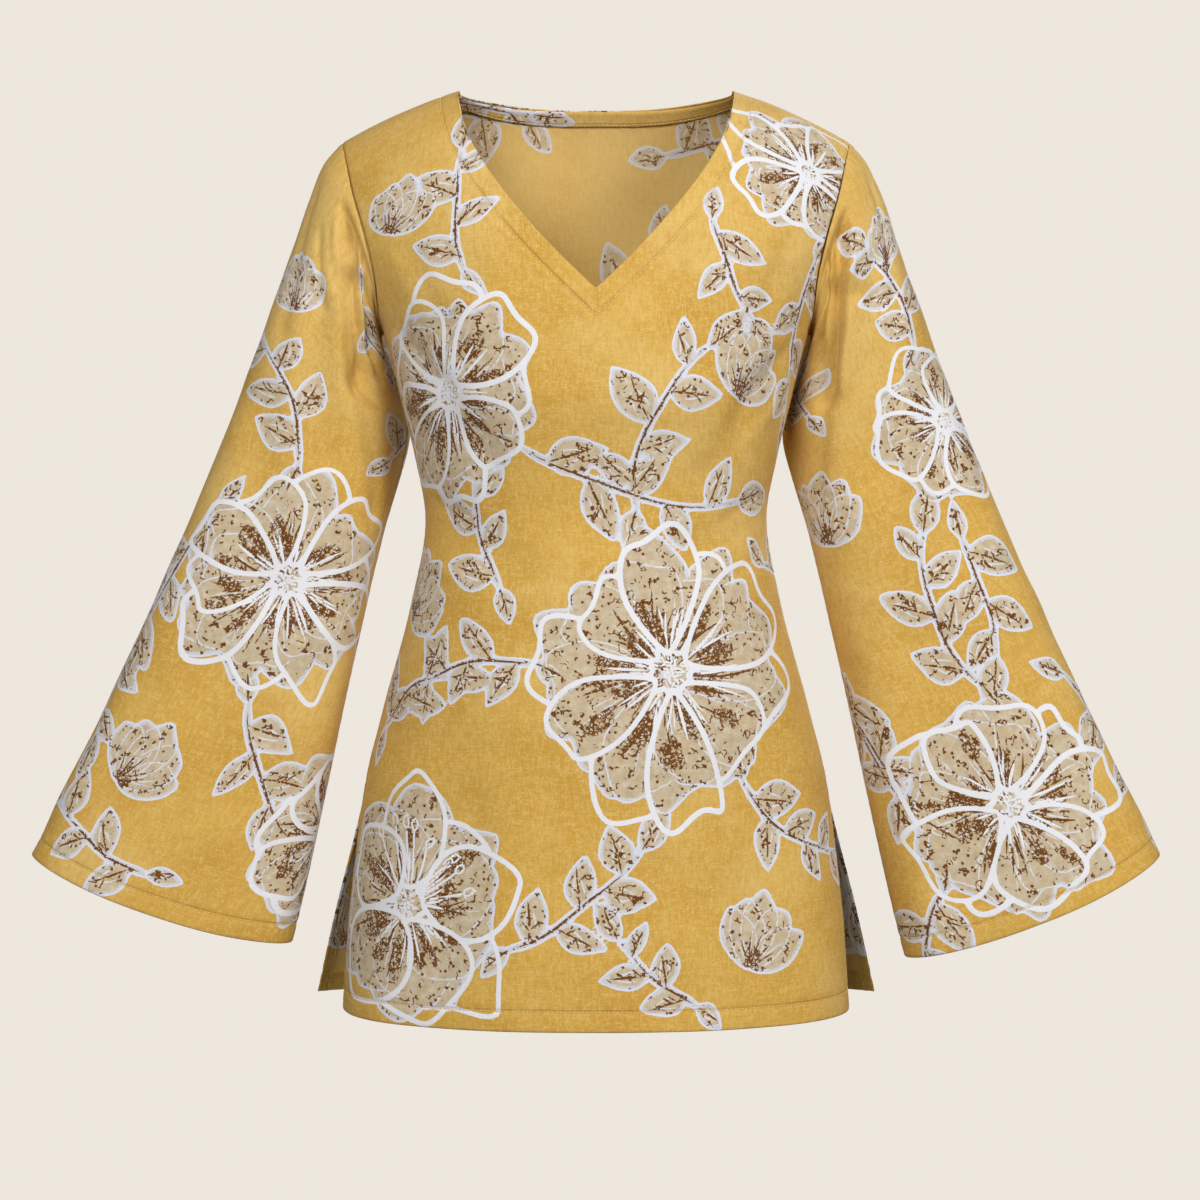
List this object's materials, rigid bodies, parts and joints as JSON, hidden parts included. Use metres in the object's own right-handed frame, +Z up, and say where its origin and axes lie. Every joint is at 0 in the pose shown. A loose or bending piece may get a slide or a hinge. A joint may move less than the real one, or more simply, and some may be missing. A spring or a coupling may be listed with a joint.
{
  "type": "tunic top",
  "caption": "Hip-length tunic top with a V neck, long flared sleeves and side slits, filled out as it is worn.",
  "frame": {"origin": "midway between the two high shoulder points, where the shoulder seams meet the neck", "axes": "+X towards the wearer's left, +Y towards the back, +Z up; the front faces -Y"},
  "size_m": [0.877, 0.2605, 0.7185],
  "materials": {
    "front": "matt slubbed cotton and linen cloth, printed with flowers and leaves",
    "back": "matt slubbed cotton and linen cloth, printed with flowers and leaves",
    "sleeve_left": "matt slubbed cotton and linen cloth, printed with flowers and leaves",
    "sleeve_right": "matt slubbed cotton and linen cloth, printed with flowers and leaves",
    "back_neck_facing": "matt slubbed cotton and linen cloth"
  },
  "bodies": {
    "root": {"front": "front", "back": "back", "sleeve_left": "sleeve_left", "sleeve_right": "sleeve_right", "back_neck_facing": "back_neck_facing"}
  },
  "joints": []
}
